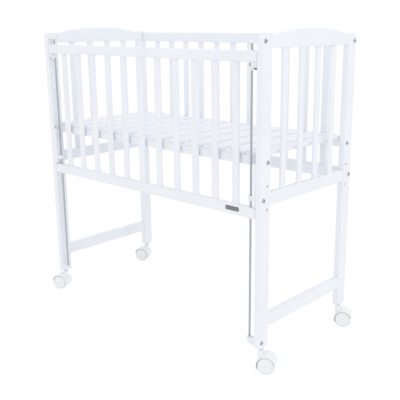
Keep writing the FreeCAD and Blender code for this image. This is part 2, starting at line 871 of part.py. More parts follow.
spots = [(signed(sign, POST_X), signed(out, POST_Y), "leg_foot", 0)
         for out in (FRONT, BACK) for sign in (LEFT, RIGHT)]
keep(copies("castor_sockets", castor_socket(), spots), "castor_sockets")


def castor_stem():
    """Steel stem, turned: its collar bears on the socket's flange from below."""
    body = new_body("stem")
    profile = sketch_on(body, "XZ_Plane", "stem_profile")
    collar_top = "leg_foot - flange_thick - collar_gap"
    outline(profile, [("0", "neck_top - neck_seat"), ("stem_round", "neck_top - neck_seat"),
                      ("stem_round", "neck_top"), ("collar_round", "neck_top"),
                      ("collar_round", collar_top), ("stem_round", collar_top),
                      ("stem_round", "leg_foot + stem_long"), ("0", "leg_foot + stem_long")])
    revolve(body, profile, "Z_Axis")
    return body


def polar(radius, angle):
    """Corner of the hood's outline at an angle, in degrees, about the wheels' axis."""
    return (f"trail + ({radius}) * cos(({angle}) * 1deg)",
            f"wheel_round + ({radius}) * sin(({angle}) * 1deg)")


def castor_hood():
    """Moulded hood: a web between the wheels, a fender over them and a neck on the stem."""
    body = new_body("hood")
    web = sketch_on(body, "XZ_Plane", "hood_web")
    reach = "fender_inner + web_lap"
    meet = "wheel_round + sqrt(fender_inner ^ 2 - (trail - neck_round) ^ 2) + web_lap"
    outline(web, [polar(reach, "fender_first"), ("neck_round", meet),
                  ("neck_round", "neck_top"), ("-neck_round", "neck_top"),
                  (f"trail - ({reach})", "wheel_round + web_rise"),
                  polar(reach, "fender_last"), ("trail", "wheel_round - web_drop")],
            {0: reach})
    pad(body, web, "2 * web_half")

    fender = sketch_on(body, "XZ_Plane", "hood_fender")
    angles = ["fender_first", "(fender_first + fender_last) / 2", "fender_last"]
    over = [polar("fender_outer", angle) for angle in angles]
    under = [polar("fender_inner", angle) for angle in reversed(angles)]
    outline(fender, over + under,
            {0: "fender_outer", 1: "fender_outer", 3: "-fender_inner", 4: "-fender_inner"})
    pad(body, fender, "2 * (wheel_outer + fender_lip)")

    neck = sketch_on(body, "XY_Plane", "hood_neck")
    neck.setExpression(".AttachmentOffset.Base.z", bound("(neck_top + neck_foot) / 2"))
    ring(neck, "0", "0", "neck_round")
    pad(body, neck, "neck_top - neck_foot")

    bores = sketch_on(body, "XZ_Plane", "hood_axle")
    ring(bores, "trail", "wheel_round", "hood_bore")
    pocket(body, bores, "4 * web_half")
    seat = sketch_on(body, "XY_Plane", "hood_stem")
    seat.setExpression(".AttachmentOffset.Base.z", bound("neck_top"))
    ring(seat, "0", "0", "stem_round")
    pocket(body, seat, "2 * neck_seat")
    return body


def castor_wheels():
    """Twin wheels, turned about the axle."""
    body = new_body("wheels")
    profile = sketch_on(body, "XY_Plane", "wheel_profile")
    outline(profile, [("axle_round", "wheel_inner"), ("wheel_round", "wheel_inner"),
                      ("wheel_round", "wheel_outer - wheel_bevel"),
                      ("wheel_round - wheel_bevel", "wheel_outer"),
                      ("axle_round", "wheel_outer")])
    turned = revolve(body, profile, "Y_Axis")
    pair = body.newObject("PartDesign::Mirrored", "wheel_pair")
    pair.Originals = [turned]
    pair.MirrorPlane = (origin_feature(body, "XZ_Plane"), [""])
    body.Tip = pair
    doc.recompute()
    return body


def castor_axle():
    """Steel axle, turned: it turns with the wheels in the hood's bore."""
    body = new_body("axle")
    profile = sketch_on(body, "XY_Plane", "axle_profile")
    half = "(wheel_outer - axle_inset)"
    outline(profile, [("0", f"-{half}"), ("axle_round", f"-{half}"), ("axle_round", half),
                      ("0", half)])
    revolve(body, profile, "Y_Axis")
    return body


def castor_node(name, original, sign, spot):
    """One castor's piece: a copy of the shared body at a spot, turned to trail outwards."""
    angle = size("trail_angle") + (0 if sign > 0 else 180)
    keep(copies(name, original, [(*spot, angle)]), name)


def wheel_place(sign, out):
    """Where a castor's axle is, trailing behind its swivel axis."""
    angle = "trail_angle * 1deg"
    return (f"{signed(sign, POST_X)} + {sign} * trail * cos({angle})",
            f"{signed(out, POST_Y)} + {sign} * trail * sin({angle})", "wheel_round")


stem, hood, wheels, axle = castor_stem(), castor_hood(), castor_wheels(), castor_axle()
for face, out in FACES.items():
    for side, sign in SIDES.items():
        tag = f"{face}_{side}"
        swivel = (signed(sign, POST_X), signed(out, POST_Y), "0")
        castor_node(f"castor_stem_{tag}", stem, sign, swivel)
        castor_node(f"castor_hood_{tag}", hood, sign, swivel)
        castor_node(f"castor_wheels_{tag}", wheels, sign, wheel_place(sign, out))
        castor_node(f"castor_axle_{tag}", axle, sign, wheel_place(sign, out))


# ---------------------------------------------------------------- writing

def check_model():
    """Stop if any object failed or any sub-part is empty or broken."""
    doc.recompute()
    for item in doc.Objects:
        if any(word in item.State for word in ("Invalid", "Error")):
            raise RuntimeError(f"{item.Name} failed: {item.State}")
    for node in nodes:
        if node.Shape.isNull() or not node.Shape.isValid() or not node.Shape.Solids:
            raise RuntimeError(f"{node.Label} has no valid shape")


check_model()
os.makedirs("parts", exist_ok=True)
for node in nodes:
    node.Shape.exportStep(f"parts/{node.Label}.step")
print(len(nodes), "sub-parts written")
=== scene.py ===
"""A bedside sleeper crib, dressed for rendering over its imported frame.

Lengths are in metres in the frame's own axes: X runs along the crib, the sliding side
faces -Y, and Z is up from the floor. Sizes given in millimetres are multiplied by MM.
"""
import sys

import logging
import math
from collections.abc import Iterable
from dataclasses import KW_ONLY, dataclass, field
from enum import Enum

import bmesh
import bpy
from bmesh.types import BMEdge, BMesh, BMFace, BMVert
from bpy.types import Material, Node, NodeSocket, World
from mathutils import Matrix, Vector


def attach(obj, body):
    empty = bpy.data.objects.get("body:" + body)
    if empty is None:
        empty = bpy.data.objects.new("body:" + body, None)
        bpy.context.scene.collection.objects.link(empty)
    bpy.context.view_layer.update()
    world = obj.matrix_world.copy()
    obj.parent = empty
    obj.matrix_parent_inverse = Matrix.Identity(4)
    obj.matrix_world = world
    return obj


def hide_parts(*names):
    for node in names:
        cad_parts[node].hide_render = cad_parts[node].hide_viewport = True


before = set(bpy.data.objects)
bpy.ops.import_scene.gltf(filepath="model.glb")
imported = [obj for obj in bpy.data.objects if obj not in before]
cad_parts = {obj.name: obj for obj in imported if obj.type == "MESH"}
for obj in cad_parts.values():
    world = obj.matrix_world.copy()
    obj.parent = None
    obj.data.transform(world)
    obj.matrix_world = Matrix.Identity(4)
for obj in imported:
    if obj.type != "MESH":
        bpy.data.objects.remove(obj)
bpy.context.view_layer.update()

LOG = logging.getLogger("crib")
MM = 0.001
FULL_TURN = 2 * math.pi
ALONG = Vector((1, 0, 0))
FORWARD = Vector((0, -1, 0))
UP = Vector((0, 0, 1))
# Two places nearer than this, in metres, are the same place.
SAME_PLACE = 1e-6
# A new ring of faces is this narrow, in metres, until its corners are placed.
THIN_RING = 0.01 * MM
# Faces that meet at more than this angle, in radians, make one of a board's own edges.
EDGE_ANGLE = 0.5
# How far each end of a slat runs into its rail, and how round its edges are, in millimetres.
SLAT_LAP = 6.0
SLAT_EDGE = 2.2


class Run(Enum):
    """The axis that a board's grain runs along."""

    X = 0
    Y = 1
    Z = 2


class Side(Enum):
    """Left or right end of the crib, as its sign along X."""

    LEFT = -1
    RIGHT = 1

    @property
    def word(self) -> str:
        """The side's word in the names of nodes."""
        return self.name.lower()


class Face(Enum):
    """Front or back of the crib, as its sign along Y."""

    FRONT = -1
    BACK = 1

    @property
    def word(self) -> str:
        """The face's word in the names of nodes."""
        return self.name.lower()


# ------------------------ finishes

def linear(colour: str) -> tuple[float, float, float, float]:
    """Turn an sRGB hex colour into the linear values of a colour socket.

    Args:
        colour: Six hex digits.

    Returns:
        Red, green, blue and an alpha of 1.
    """
    parts = [int(colour[i:i + 2], 16) / 255 for i in (0, 2, 4)]
    red, green, blue = (p / 12.92 if p <= 0.04045 else ((p + 0.055) / 1.055) ** 2.4
                        for p in parts)
    return red, green, blue, 1.0


def add_node(owner: Material | World, kind: str, inputs: dict | None = None,
             **settings: str) -> Node:
    """Add a node to a material or world, with its inputs and its settings.

    Args:
        owner: The material or world whose tree gets the node.
        kind: The node's type name.
        inputs: Sockets by name or number, each with a value or another node's output.
        **settings: The node's own properties.

    Returns:
        The new node.
    """
    tree = owner.node_tree
    node = tree.nodes.new(kind)
    for name, value in settings.items():
        setattr(node, name, value)
    for socket, value in (inputs or {}).items():
        if isinstance(value, NodeSocket):
            tree.links.new(value, node.inputs[socket])
        else:
            node.inputs[socket].default_value = value
    return node


def blank_material(name: str) -> Material:
    """Make a material with an empty node tree.

    Args:
        name: Its name.

    Returns:
        The material.
    """
    material = bpy.data.materials.new(name)
    material.use_nodes = True
    material.node_tree.nodes.clear()
    return material


def per_metre(across_mm: float, along_mm: float, run: Run | None) -> tuple[float, ...]:
    """Mapping scale for a pattern that is stretched along a board.

    Args:
        across_mm: The pattern's real size across the grain.
        along_mm: Its real size along the grain.
        run: The axis of the grain, or None for a pattern that is the same every way.

    Returns:
        The scale along X, Y and Z.
    """
    return tuple(1 / ((along_mm if run is not None and axis == run.value else across_mm) * MM)
                 for axis in range(3))


# Lacquer, nylon and polypropylene all bend light by about this much.
PLASTIC_IOR = 1.5


@dataclass(frozen=True)
class SprayedLacquer:
    """White satin furniture lacquer, sprayed on sanded solid beech.

    The eye gets an even cold white, a soft sheen with a trace of orange peel, and the
    pores of the grain just telling through along each board.
    """

    name: str = "sprayed_satin_lacquer"
    colour: str = "F5F8FD"
    dull_colour: str = "F0F3F9"
    roughness: float = 0.38
    # How much glossier and duller the finish gets from place to place.
    gloss_swing: tuple[float, float] = (-0.05, 0.08)
    cloud_mm: float = 160.0
    # Beech pores are 0.1 mm wide and 2 mm long: too fine to show, so drawn coarser.
    pore_mm: float = 1.6
    pore_long_mm: float = 40.0
    peel_mm: float = 2.5
    # The share of the pores in the tone, and the tones at which it is dull and full.
    pore_share: float = 0.45
    dull_at: float = 0.45
    full_at: float = 0.85
    pore_bump: float = 0.10
    peel_bump: float = 0.06
    bump_deep_mm: float = 0.2
    coat: float = 0.15
    coat_roughness: float = 0.25

    def material(self, run: Run) -> Material:
        """Build the lacquer for boards whose grain runs one way.

        Args:
            run: The axis of the grain.

        Returns:
            The material.
        """
        m = blank_material(f"{self.name}_{run.name.lower()}")
        place = add_node(m, "ShaderNodeTexCoord").outputs["Object"]
        pores_at = add_node(m, "ShaderNodeMapping", {
            "Vector": place, "Scale": per_metre(self.pore_mm, self.pore_long_mm, run)})
        pores = add_node(m, "ShaderNodeTexNoise", {
            "Vector": pores_at.outputs[0], "Scale": 1.0, "Detail": 3.0, "Roughness": 0.6})
        clouds = add_node(m, "ShaderNodeTexNoise", {
            "Vector": place, "Scale": 1 / (self.cloud_mm * MM), "Detail": 2.0})
        peel = add_node(m, "ShaderNodeTexNoise", {
            "Vector": place, "Scale": 1 / (self.peel_mm * MM), "Detail": 1.0})
        tone = add_node(m, "ShaderNodeMath", {
            0: pores.outputs[0], 1: self.pore_share, 2: clouds.outputs[0]},
            operation="MULTIPLY_ADD")
        colour = add_node(m, "ShaderNodeValToRGB", {0: tone.outputs[0]})
        stops = ((self.dull_at, self.dull_colour), (self.full_at, self.colour))
        for stop, (position, shade) in zip(colour.color_ramp.elements, stops):
            stop.position = position
            stop.color = linear(shade)
        gloss = add_node(m, "ShaderNodeMapRange", {
            0: pores.outputs[0], 3: self.roughness + self.gloss_swing[0],
            4: self.roughness + self.gloss_swing[1]})
        grain_bump = add_node(m, "ShaderNodeBump", {
            "Height": pores.outputs[0], "Strength": self.pore_bump,
            "Distance": self.bump_deep_mm * MM})
        bump = add_node(m, "ShaderNodeBump", {
            "Height": peel.outputs[0], "Strength": self.peel_bump,
            "Distance": self.bump_deep_mm * MM, "Normal": grain_bump.outputs[0]})
        skin = add_node(m, "ShaderNodeBsdfPrincipled", {
            "Base Color": colour.outputs[0], "Roughness": gloss.outputs[0],
            "Normal": bump.outputs[0], "IOR": PLASTIC_IOR, "Coat Weight": self.coat,
            "Coat Roughness": self.coat_roughness})
        add_node(m, "ShaderNodeOutputMaterial", {"Surface": skin.outputs[0]})
        return m


@dataclass(frozen=True)
class TwoTone:
    """What the plastics and metals share: two near colours, a gloss and a fine relief."""

    name: str
    colour: str
    dull_colour: str
    roughness: float
    _: KW_ONLY
    gloss_swing: tuple[float, float] = (-0.06, 0.08)
    bump: float = 0.18
    bump_deep_mm: float = 0.15

    def surface(self, m: Material, tone: NodeSocket, relief: NodeSocket,
                inputs: dict) -> None:
        """Give a material its surface.

        Args:
            m: The material.
            tone: The pattern of its colour and gloss.
            relief: The pattern of its relief.
            inputs: The shader's other inputs.
        """
        colour = add_node(m, "ShaderNodeMix", {
            0: tone, 6: linear(self.dull_colour), 7: linear(self.colour)}, data_type="RGBA")
        gloss = add_node(m, "ShaderNodeMapRange", {
            0: tone, 3: self.roughness + self.gloss_swing[0],
            4: self.roughness + self.gloss_swing[1]})
        bump = add_node(m, "ShaderNodeBump", {
            "Height": relief, "Strength": self.bump, "Distance": self.bump_deep_mm * MM})
        skin = add_node(m, "ShaderNodeBsdfPrincipled", {
            "Base Color": colour.outputs[2], "Roughness": gloss.outputs[0],
            "Normal": bump.outputs[0], **inputs})
        add_node(m, "ShaderNodeOutputMaterial", {"Surface": skin.outputs[0]})


@dataclass(frozen=True)
class MouldedPlastic(TwoTone):
    """Injection-moulded plastic with the fine spark texture of its mould.

    The eye gets a flat even colour and a broken, slightly waxy highlight.
    """

    # Spark texture is 0.1 mm; it is drawn as fine as a close view shows.
    grit_mm: float = 1.1
    cloud_mm: float = 22.0

    def material(self) -> Material:
        """Build the plastic.

        Returns:
            The material.
        """
        m = blank_material(self.name)
        place = add_node(m, "ShaderNodeTexCoord").outputs["Object"]
        grit = add_node(m, "ShaderNodeTexVoronoi", {
            "Vector": place, "Scale": 1 / (self.grit_mm * MM)})
        clouds = add_node(m, "ShaderNodeTexNoise", {
            "Vector": place, "Scale": 1 / (self.cloud_mm * MM), "Detail": 3.0})
        self.surface(m, clouds.outputs[0], grit.outputs[0], {"IOR": PLASTIC_IOR})
        return m


@dataclass(frozen=True)
class WorkedMetal(TwoTone):
    """Drawn, turned or rolled metal, with the fine lines that its making left.

    The eye gets a darker or lighter streak along the lines and a soft stretched glint.
    """

    line_mm: float
    line_long_mm: float
    run: Run | None = None
    metallic: float = 1.0
    _: KW_ONLY
    gloss_swing: tuple[float, float] = (-0.07, 0.1)
    bump: float = 0.15
    bump_deep_mm: float = 0.05

    def material(self) -> Material:
        """Build the metal.

        Returns:
            The material.
        """
        m = blank_material(self.name)
        place = add_node(m, "ShaderNodeTexCoord").outputs["Object"]
        at = add_node(m, "ShaderNodeMapping", {
            "Vector": place, "Scale": per_metre(self.line_mm, self.line_long_mm, self.run)})
        lines = add_node(m, "ShaderNodeTexNoise", {
            "Vector": at.outputs[0], "Scale": 1.0, "Detail": 3.0, "Roughness": 0.65})
        self.surface(m, lines.outputs[0], lines.outputs[0], {"Metallic": self.metallic})
        return m


NYLON = MouldedPlastic("moulded_white_nylon", "F4F6FA", "ECEFF4", 0.42)
HOOD_PLASTIC = MouldedPlastic("moulded_polypropylene_hood", "FAFBFD", "F4F6F9", 0.36)
DISC_PLASTIC = MouldedPlastic("moulded_nylon_wheel_disc", "F8FAFC", "F2F4F7", 0.4)
TREAD_RUBBER = MouldedPlastic("moulded_elastomer_tread", "E9EBEE", "DDE0E4", 0.62,
                              grit_mm=0.9, bump=0.3)
KNOB_PLASTIC = MouldedPlastic("moulded_pale_grey_acetal", "E2E5E9", "D6DADF", 0.45)
ROD_STEEL = WorkedMetal("cold_drawn_steel_rod", "C4C9CE", "ACB2B8", 0.36, 0.6, 60, Run.Z)
ZINC_STEEL = WorkedMetal("zinc_plated_turned_steel", "C9CDD1", "AEB3B9", 0.34, 0.8, 6)
BOLT_STEEL = WorkedMetal("zinc_plated_cold_headed_steel", "C6CACE", "A6ABB1", 0.3, 0.6, 3)
PLATE_METAL = WorkedMetal("satin_anodised_plate", "8C8E92", "78797D", 0.4, 0.5, 30, Run.X,
                          metallic=0.35)


class Paintbox:
    """Every finish on the crib, built once."""

    def __init__(self) -> None:
        """Build the materials."""
        lacquer = SprayedLacquer()
        self.lacquer = {run: lacquer.material(run) for run in Run}
        self.nylon = NYLON.material()
        self.hood = HOOD_PLASTIC.material()
        self.disc = DISC_PLASTIC.material()
        self.tread = TREAD_RUBBER.material()
        self.knob = KNOB_PLASTIC.material()
        self.rod = ROD_STEEL.material()
        self.zinc = ZINC_STEEL.material()
        self.bolt = BOLT_STEEL.material()
        self.plate = PLATE_METAL.material()


def dress(node: str, material: Material) -> None:
    """Give a carried-over CAD node a finish in place of its plain colour.

    Args:
        node: The node.
        material: The finish.
    """
    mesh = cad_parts[node].data
    mesh.materials.clear()
    mesh.materials.append(material)


# ------------------------ modelling

def mm(*values: float) -> Vector:
    """A place or size given in millimetres."""
    return Vector(values) * MM


def edges_of(verts: Iterable[BMVert]) -> list[BMEdge]:
    """Find the edges that start and end in a set of vertices.

    Args:
        verts: The vertices.

    Returns:
        The edges.
    """
    inside = dict.fromkeys(verts)
    return [e for v in inside for e in v.link_edges
            if e.verts[0] == v and e.verts[1] in inside]


def round_off(bm: BMesh, edges: Iterable[BMEdge], radius: float, segments: int) -> None:
    """Round some edges.

    Args:
        bm: The mesh.
        edges: The edges.
        radius: In metres.
        segments: Steps round each edge.
    """
    bmesh.ops.bevel(bm, geom=list(edges), offset=radius, offset_type="OFFSET",
                    segments=segments, profile=0.5, affect="EDGES", material=-1,
                    clamp_overlap=True)


def block(bm: BMesh, low: Vector, high: Vector) -> list[BMVert]:
    """Add a block.

    Args:
        bm: The mesh.
        low: Its corner with the least X, Y and Z.
        high: Its corner with the greatest.

    Returns:
        Its vertices.
    """
    verts = bmesh.ops.create_cube(bm, size=1.0)["verts"]
    bmesh.ops.scale(bm, vec=high - low, verts=verts)
    bmesh.ops.translate(bm, vec=(low + high) / 2, verts=verts)
    return verts


def board(bm: BMesh, low: Vector, high: Vector, radius: float = 2.5 * MM,
          segments: int = 4) -> None:
    """A board between two corners with all its edges rounded."""
    round_off(bm, edges_of(block(bm, low, high)), radius, segments)


def flat_faces(bm: BMesh, middle: Vector, normal: Vector) -> list[BMFace]:
    """The faces that look along a normal, in the plane through a point."""
    return [f for f in bm.faces if f.normal.dot(normal) > 0.99
            and abs((f.calc_center_median() - middle).dot(normal)) < 0.1 * MM]


def nearest(faces: Iterable[BMFace], middle: Vector) -> BMFace:
    """The face whose centre is nearest to a point."""
    return min(faces, key=lambda f: (f.calc_center_median() - middle).length)


def drill(bm: BMesh, middle: Vector, normal: Vector, radius: float, depth: float,
          steps: int = 6) -> BMFace:
    """Sink a round blind hole with a softened rim into a flat face.

    Args:
        bm: The mesh.
        middle: The hole's centre on the face.
        normal: The face's outward normal, along an axis.
        radius: The hole's radius.
        depth: The hole's depth.
        steps: Edges of the round rim per quarter turn.

    Returns:
        The round face at the hole's bottom.
    """
    # The face is cut to a square patch round the hole, and the rim is softened over 0.4 mm.
    reach = radius * 1.6
    rim = 0.4 * MM
    across = [a for a in (ALONG, Vector((0, 1, 0)), UP) if abs(normal.dot(a)) < 0.5]
    for axis in across:
        for sign in (-1, 1):
            near = flat_faces(bm, middle, normal)
            shapes = near + list(dict.fromkeys(e for f in near for e in f.edges))
            shapes += list(dict.fromkeys(v for f in near for v in f.verts))
            bmesh.ops.bisect_plane(bm, geom=shapes, dist=1e-7, plane_no=axis,
                                   plane_co=middle + axis * sign * reach)
    face = nearest(flat_faces(bm, middle, normal), middle)
    bmesh.ops.subdivide_edges(bm, edges=list(face.edges), cuts=steps - 1)
    face = nearest(flat_faces(bm, middle, normal), middle)
    bmesh.ops.inset_region(bm, faces=[face], thickness=0.1 * radius, use_even_offset=True)
    for spread, sink in ((radius + rim, 0.0), (radius, rim), (radius, depth)):
        if sink:
            bmesh.ops.inset_region(bm, faces=[face], thickness=THIN_RING,
                                   use_even_offset=True)
        for v in face.verts:
            arm = v.co - middle
            arm -= normal * arm.dot(normal)
            v.co = middle + arm.normalized() * spread - normal * sink
    return face


def bore(bm: BMesh, start: Vector, end: Vector, radius: float) -> None:
    """Bore a round hole right through, between two opposite flat faces.

    Args:
        bm: The mesh.
        start: The hole's centre on one face.
        end: Its centre on the other.
        radius: The hole's radius.
    """
    way = (start - end).normalized()
    half = (start - end).length / 2
    floors = [drill(bm, middle, normal, radius, half)
              for middle, normal in ((start, way), (end, -way))]
    walls = [v for f in floors for v in f.verts]
    bmesh.ops.delete(bm, geom=floors, context="FACES_ONLY")
    bmesh.ops.remove_doubles(bm, verts=walls, dist=0.05 * MM)


def spun(bm: BMesh, profile: Iterable[tuple[float, float]], centre: Vector,
         axis: Vector, out: Vector, steps: int = 32) -> list[BMVert]:
    """Turn a profile once round an axis, as on a lathe.

    Args:
        bm: The mesh.
        profile: (distance along the axis, radius) pairs, in millimetres.
        centre: A point on the axis, from which distances are taken.
        axis: The axis.
        out: The direction, square to the axis, in which the profile is drawn.
        steps: Steps round the turn.

    Returns:
        The vertices of the turned shape.
    """
    before = set(bm.verts)
    chain = [bm.verts.new(centre + axis * along * MM + out * radius * MM)
             for along, radius in profile]
    links = [bm.edges.new(pair) for pair in zip(chain, chain[1:])]
    bmesh.ops.spin(bm, geom=chain + links, cent=centre, axis=axis, dvec=(0, 0, 0),
                   angle=FULL_TURN, steps=steps, use_merge=True, use_duplicate=False)
    verts = [v for v in bm.verts if v not in before]
    bmesh.ops.remove_doubles(bm, verts=verts, dist=SAME_PLACE)
    verts = [v for v in bm.verts if v not in before]
    faces = list(dict.fromkeys(f for v in verts for f in v.link_faces))
    bmesh.ops.recalc_face_normals(bm, faces=faces)
    return verts


def piece(bm: BMesh, name: str, material: Material, body: str,
          nodes: Iterable[str] = (), sharp: float = 40.0) -> None:
    """Make a finished, shaded object of a mesh and hang it on its body.

    Args:
        bm: The mesh, which is freed.
        name: The object's name.
        material: Its finish.
        body: The CAD body that it moves with.
        nodes: The CAD nodes that it stands for.
        sharp: The angle, in degrees, from which an edge stays crisp.
    """
    mesh = bpy.data.meshes.new(name)
    bm.to_mesh(mesh)
    bm.free()
    mesh.materials.append(material)
    mesh.shade_smooth()
    mesh.set_sharp_from_angle(angle=math.radians(sharp))
    item = bpy.data.objects.new(name, mesh)
    bpy.context.scene.collection.objects.link(item)
    weighted = item.modifiers.new("flat_faces_stay_flat", "WEIGHTED_NORMAL")
    weighted.keep_sharp = True
    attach(item, body)
    if nodes:
        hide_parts(*nodes)
    LOG.info("%s: %d faces on %s", name, len(mesh.polygons), body)


def wooden(bm: BMesh, node: str, paint: Paintbox, run: Run, body: str = "frame") -> None:
    """Finish a lacquered wooden piece that stands for one CAD node.

    Args:
        bm: The mesh, which is freed.
        node: The node.
        paint: The finishes.
        run: The axis of its grain.
        body: The CAD body that it moves with.
    """
    piece(bm, f"wood_{node}", paint.lacquer[run], body, [node])


# ------------------------ posts and end panels

@dataclass
class Post:
    """One full-length corner post, with the spare bolt holes of the mattress base."""

    face: Face
    side: Side
    paint: Paintbox
    inner_x: float = 452.5
    outer_x: float = 472.5
    inner_y: float = 182.5
    outer_y: float = 221.5
    foot: float = 72.0
    top: float = 926.0
    crown: float = 11.0
    edge: float = 2.5
    base_line_y: float = 194.5
    spare_levels: tuple[float, ...] = (537.0, 473.0)
    spare_radius: float = 3.5
    spare_deep_outside: float = 16.0
    spare_deep_inside: float = 3.0
    catch_levels: tuple[float, ...] = (843.0, 605.0)
    catch_radius: float = 2.9
    catch_deep: float = 8.0
    catch_line_y: float = 212.0

    def build(self) -> None:
        """Make the post and stand it in for its node."""
        sx, sy = self.side.value, self.face.value
        bm = bmesh.new()
        corners = [mm(sx * x, sy * y, z) for x, y, z in (
            (self.inner_x, self.inner_y, self.foot), (self.outer_x, self.outer_y, self.top))]
        low = Vector(map(min, *corners))
        high = Vector(map(max, *corners))
        block(bm, low, high)
        shoulder = [e for e in bm.edges if all(
            abs(v.co.z - high.z) < SAME_PLACE
            and abs(v.co.y - sy * self.outer_y * MM) < SAME_PLACE for v in e.verts)]
        round_off(bm, shoulder, self.crown * MM, segments=8)
        # The crown's own steps stay; every sharp edge is softened.
        crisp = [e for e in bm.edges if e.calc_face_angle(0) > EDGE_ANGLE]
        round_off(bm, crisp, self.edge * MM, segments=3)
        for level in self.spare_levels:
            for x, way, depth in ((self.outer_x, sx, self.spare_deep_outside),
                                  (self.inner_x, -sx, self.spare_deep_inside)):
                drill(bm, mm(sx * x, sy * self.base_line_y, level), ALONG * way,
                      self.spare_radius * MM, depth * MM)
        if self.face is Face.FRONT:
            for level in self.catch_levels:
                drill(bm, mm(sx * self.inner_x, sy * self.catch_line_y, level), ALONG * -sx,
                      self.catch_radius * MM, self.catch_deep * MM)
        wooden(bm, f"post_{self.face.word}_{self.side.word}", self.paint, Run.Z)


@dataclass
class EndPanel:
    """The arched end between two posts: three rails and four slats."""

    side: Side
    paint: Paintbox
    middle_x: float = 462.5
    half_board: float = 9.0
    half_length: float = 182.5
    arch_under: float = 893.0
    arch_foot: float = 922.5
    arch_peak: float = 942.0
    low_rail: tuple[float, float] = (483.0, 518.0)
    stretcher: tuple[float, float] = (131.0, 169.0)
    slat_pitch: float = 77.4
    slat_half_wide: float = 11.0
    slat_half_thick: float = 4.0
    slat_count: int = 4
    arch_steps: int = 28
    edge: float = 2.5
    # How far the straight rails run into the posts, so that no light shows between them.
    seat: float = 0.4

    def top_rail(self) -> None:
        """Rail that is straight below and a shallow arch above."""
        x = self.side.value * self.middle_x
        bm = bmesh.new()
        block(bm, mm(x - self.half_board, -self.half_length, self.arch_under),
              mm(x + self.half_board, self.half_length, self.arch_foot))
        for step in range(1, self.arch_steps):
            y = (2 * step / self.arch_steps - 1) * self.half_length * MM
            shapes = list(bm.verts) + list(bm.edges) + list(bm.faces)
            bmesh.ops.bisect_plane(bm, geom=shapes, dist=1e-7, plane_co=(0, y, 0),
                                   plane_no=(0, 1, 0))
        rise = self.arch_peak - self.arch_foot
        radius = (self.half_length ** 2 + rise ** 2) / (2 * rise)
        for v in bm.verts:
            if v.co.z > (self.arch_foot - 1) * MM:
                y = v.co.y / MM
                lift = math.sqrt(radius ** 2 - y ** 2) - (radius - rise)
                v.co.z = (self.arch_foot + lift) * MM
        crisp = [e for e in bm.edges if e.calc_face_angle(0) > EDGE_ANGLE
                 and abs((e.verts[0].co - e.verts[1].co).normalized().y) > 0.7]
        round_off(bm, crisp, self.edge * MM, segments=4)
        wooden(bm, f"end_top_rail_{self.side.word}", self.paint, Run.Y)

    def straight_rail(self, node: str, under: float, over: float) -> None:
        """Make a plain rail between the posts.

        Args:
            node: The node that it stands for.
            under: The height of its underside.
            over: The height of its top.
        """
        x = self.side.value * self.middle_x
        bm = bmesh.new()
        reach = self.half_length + self.seat
        board(bm, mm(x - self.half_board, -reach, under), mm(x + self.half_board, reach, over))
        wooden(bm, node, self.paint, Run.Y)

    def slats(self) -> None:
        """The four upright slats."""
        x = self.side.value * self.middle_x
        bm = bmesh.new()
        for index in range(self.slat_count):
            y = (index - (self.slat_count - 1) / 2) * self.slat_pitch
            board(bm, mm(x - self.slat_half_thick, y - self.slat_half_wide,
                         self.low_rail[1] - SLAT_LAP),
                  mm(x + self.slat_half_thick, y + self.slat_half_wide,
                     self.arch_under + SLAT_LAP), SLAT_EDGE * MM)
        wooden(bm, f"end_slats_{self.side.word}", self.paint, Run.Z)

    def build(self) -> None:
        """Make the panel."""
        self.top_rail()
        self.straight_rail(f"end_bottom_rail_{self.side.word}", *self.low_rail)
        self.straight_rail(f"end_stretcher_{self.side.word}", *self.stretcher)
        self.slats()


# ------------------------ slatted sides

@dataclass
class SlattedSide:
    """Two long rails and eleven slats: the fixed back, or the front that slides."""

    name: str
    body: str
    paint: Paintbox
    middle_y: float
    half_length: float
    top_rail: tuple[float, float]
    low_rail: tuple[float, float]
    half_board: float = 9.0
    # The slats part the 905 mm between the end posts into twelve.
    slat_pitch: float = 905 / 12
    slat_half_wide: float = 11.0
    slat_half_thick: float = 4.0
    slat_count: int = 11
    bush_x: float = 429.8
    bush_radius: float = 5.0
    slides: bool = False

    def rail(self, node: str, under: float, over: float) -> None:
        """Make one long rail, bored for its bushes if the side slides.

        Args:
            node: The node that it stands for.
            under: The height of its underside.
            over: The height of its top.
        """
        bm = bmesh.new()
        board(bm, mm(-self.half_length, self.middle_y - self.half_board, under),
              mm(self.half_length, self.middle_y + self.half_board, over))
        for side in Side if self.slides else ():
            x = side.value * self.bush_x
            bore(bm, mm(x, self.middle_y, over), mm(x, self.middle_y, under),
                 self.bush_radius * MM)
        wooden(bm, node, self.paint, Run.X, self.body)

    def slats(self) -> None:
        """The row of upright slats."""
        bm = bmesh.new()
        for index in range(self.slat_count):
            x = (index - (self.slat_count - 1) / 2) * self.slat_pitch
            board(bm, mm(x - self.slat_half_wide, self.middle_y - self.slat_half_thick,
                         self.low_rail[1] - SLAT_LAP),
                  mm(x + self.slat_half_wide, self.middle_y + self.slat_half_thick,
                     self.top_rail[0] + SLAT_LAP), SLAT_EDGE * MM)
        wooden(bm, f"{self.name}_slats", self.paint, Run.Z, self.body)

    def build(self) -> None:
        """Make the side."""
        self.rail(f"{self.name}_top_rail", *self.top_rail)
        self.rail(f"{self.name}_bottom_rail", *self.low_rail)
        self.slats()


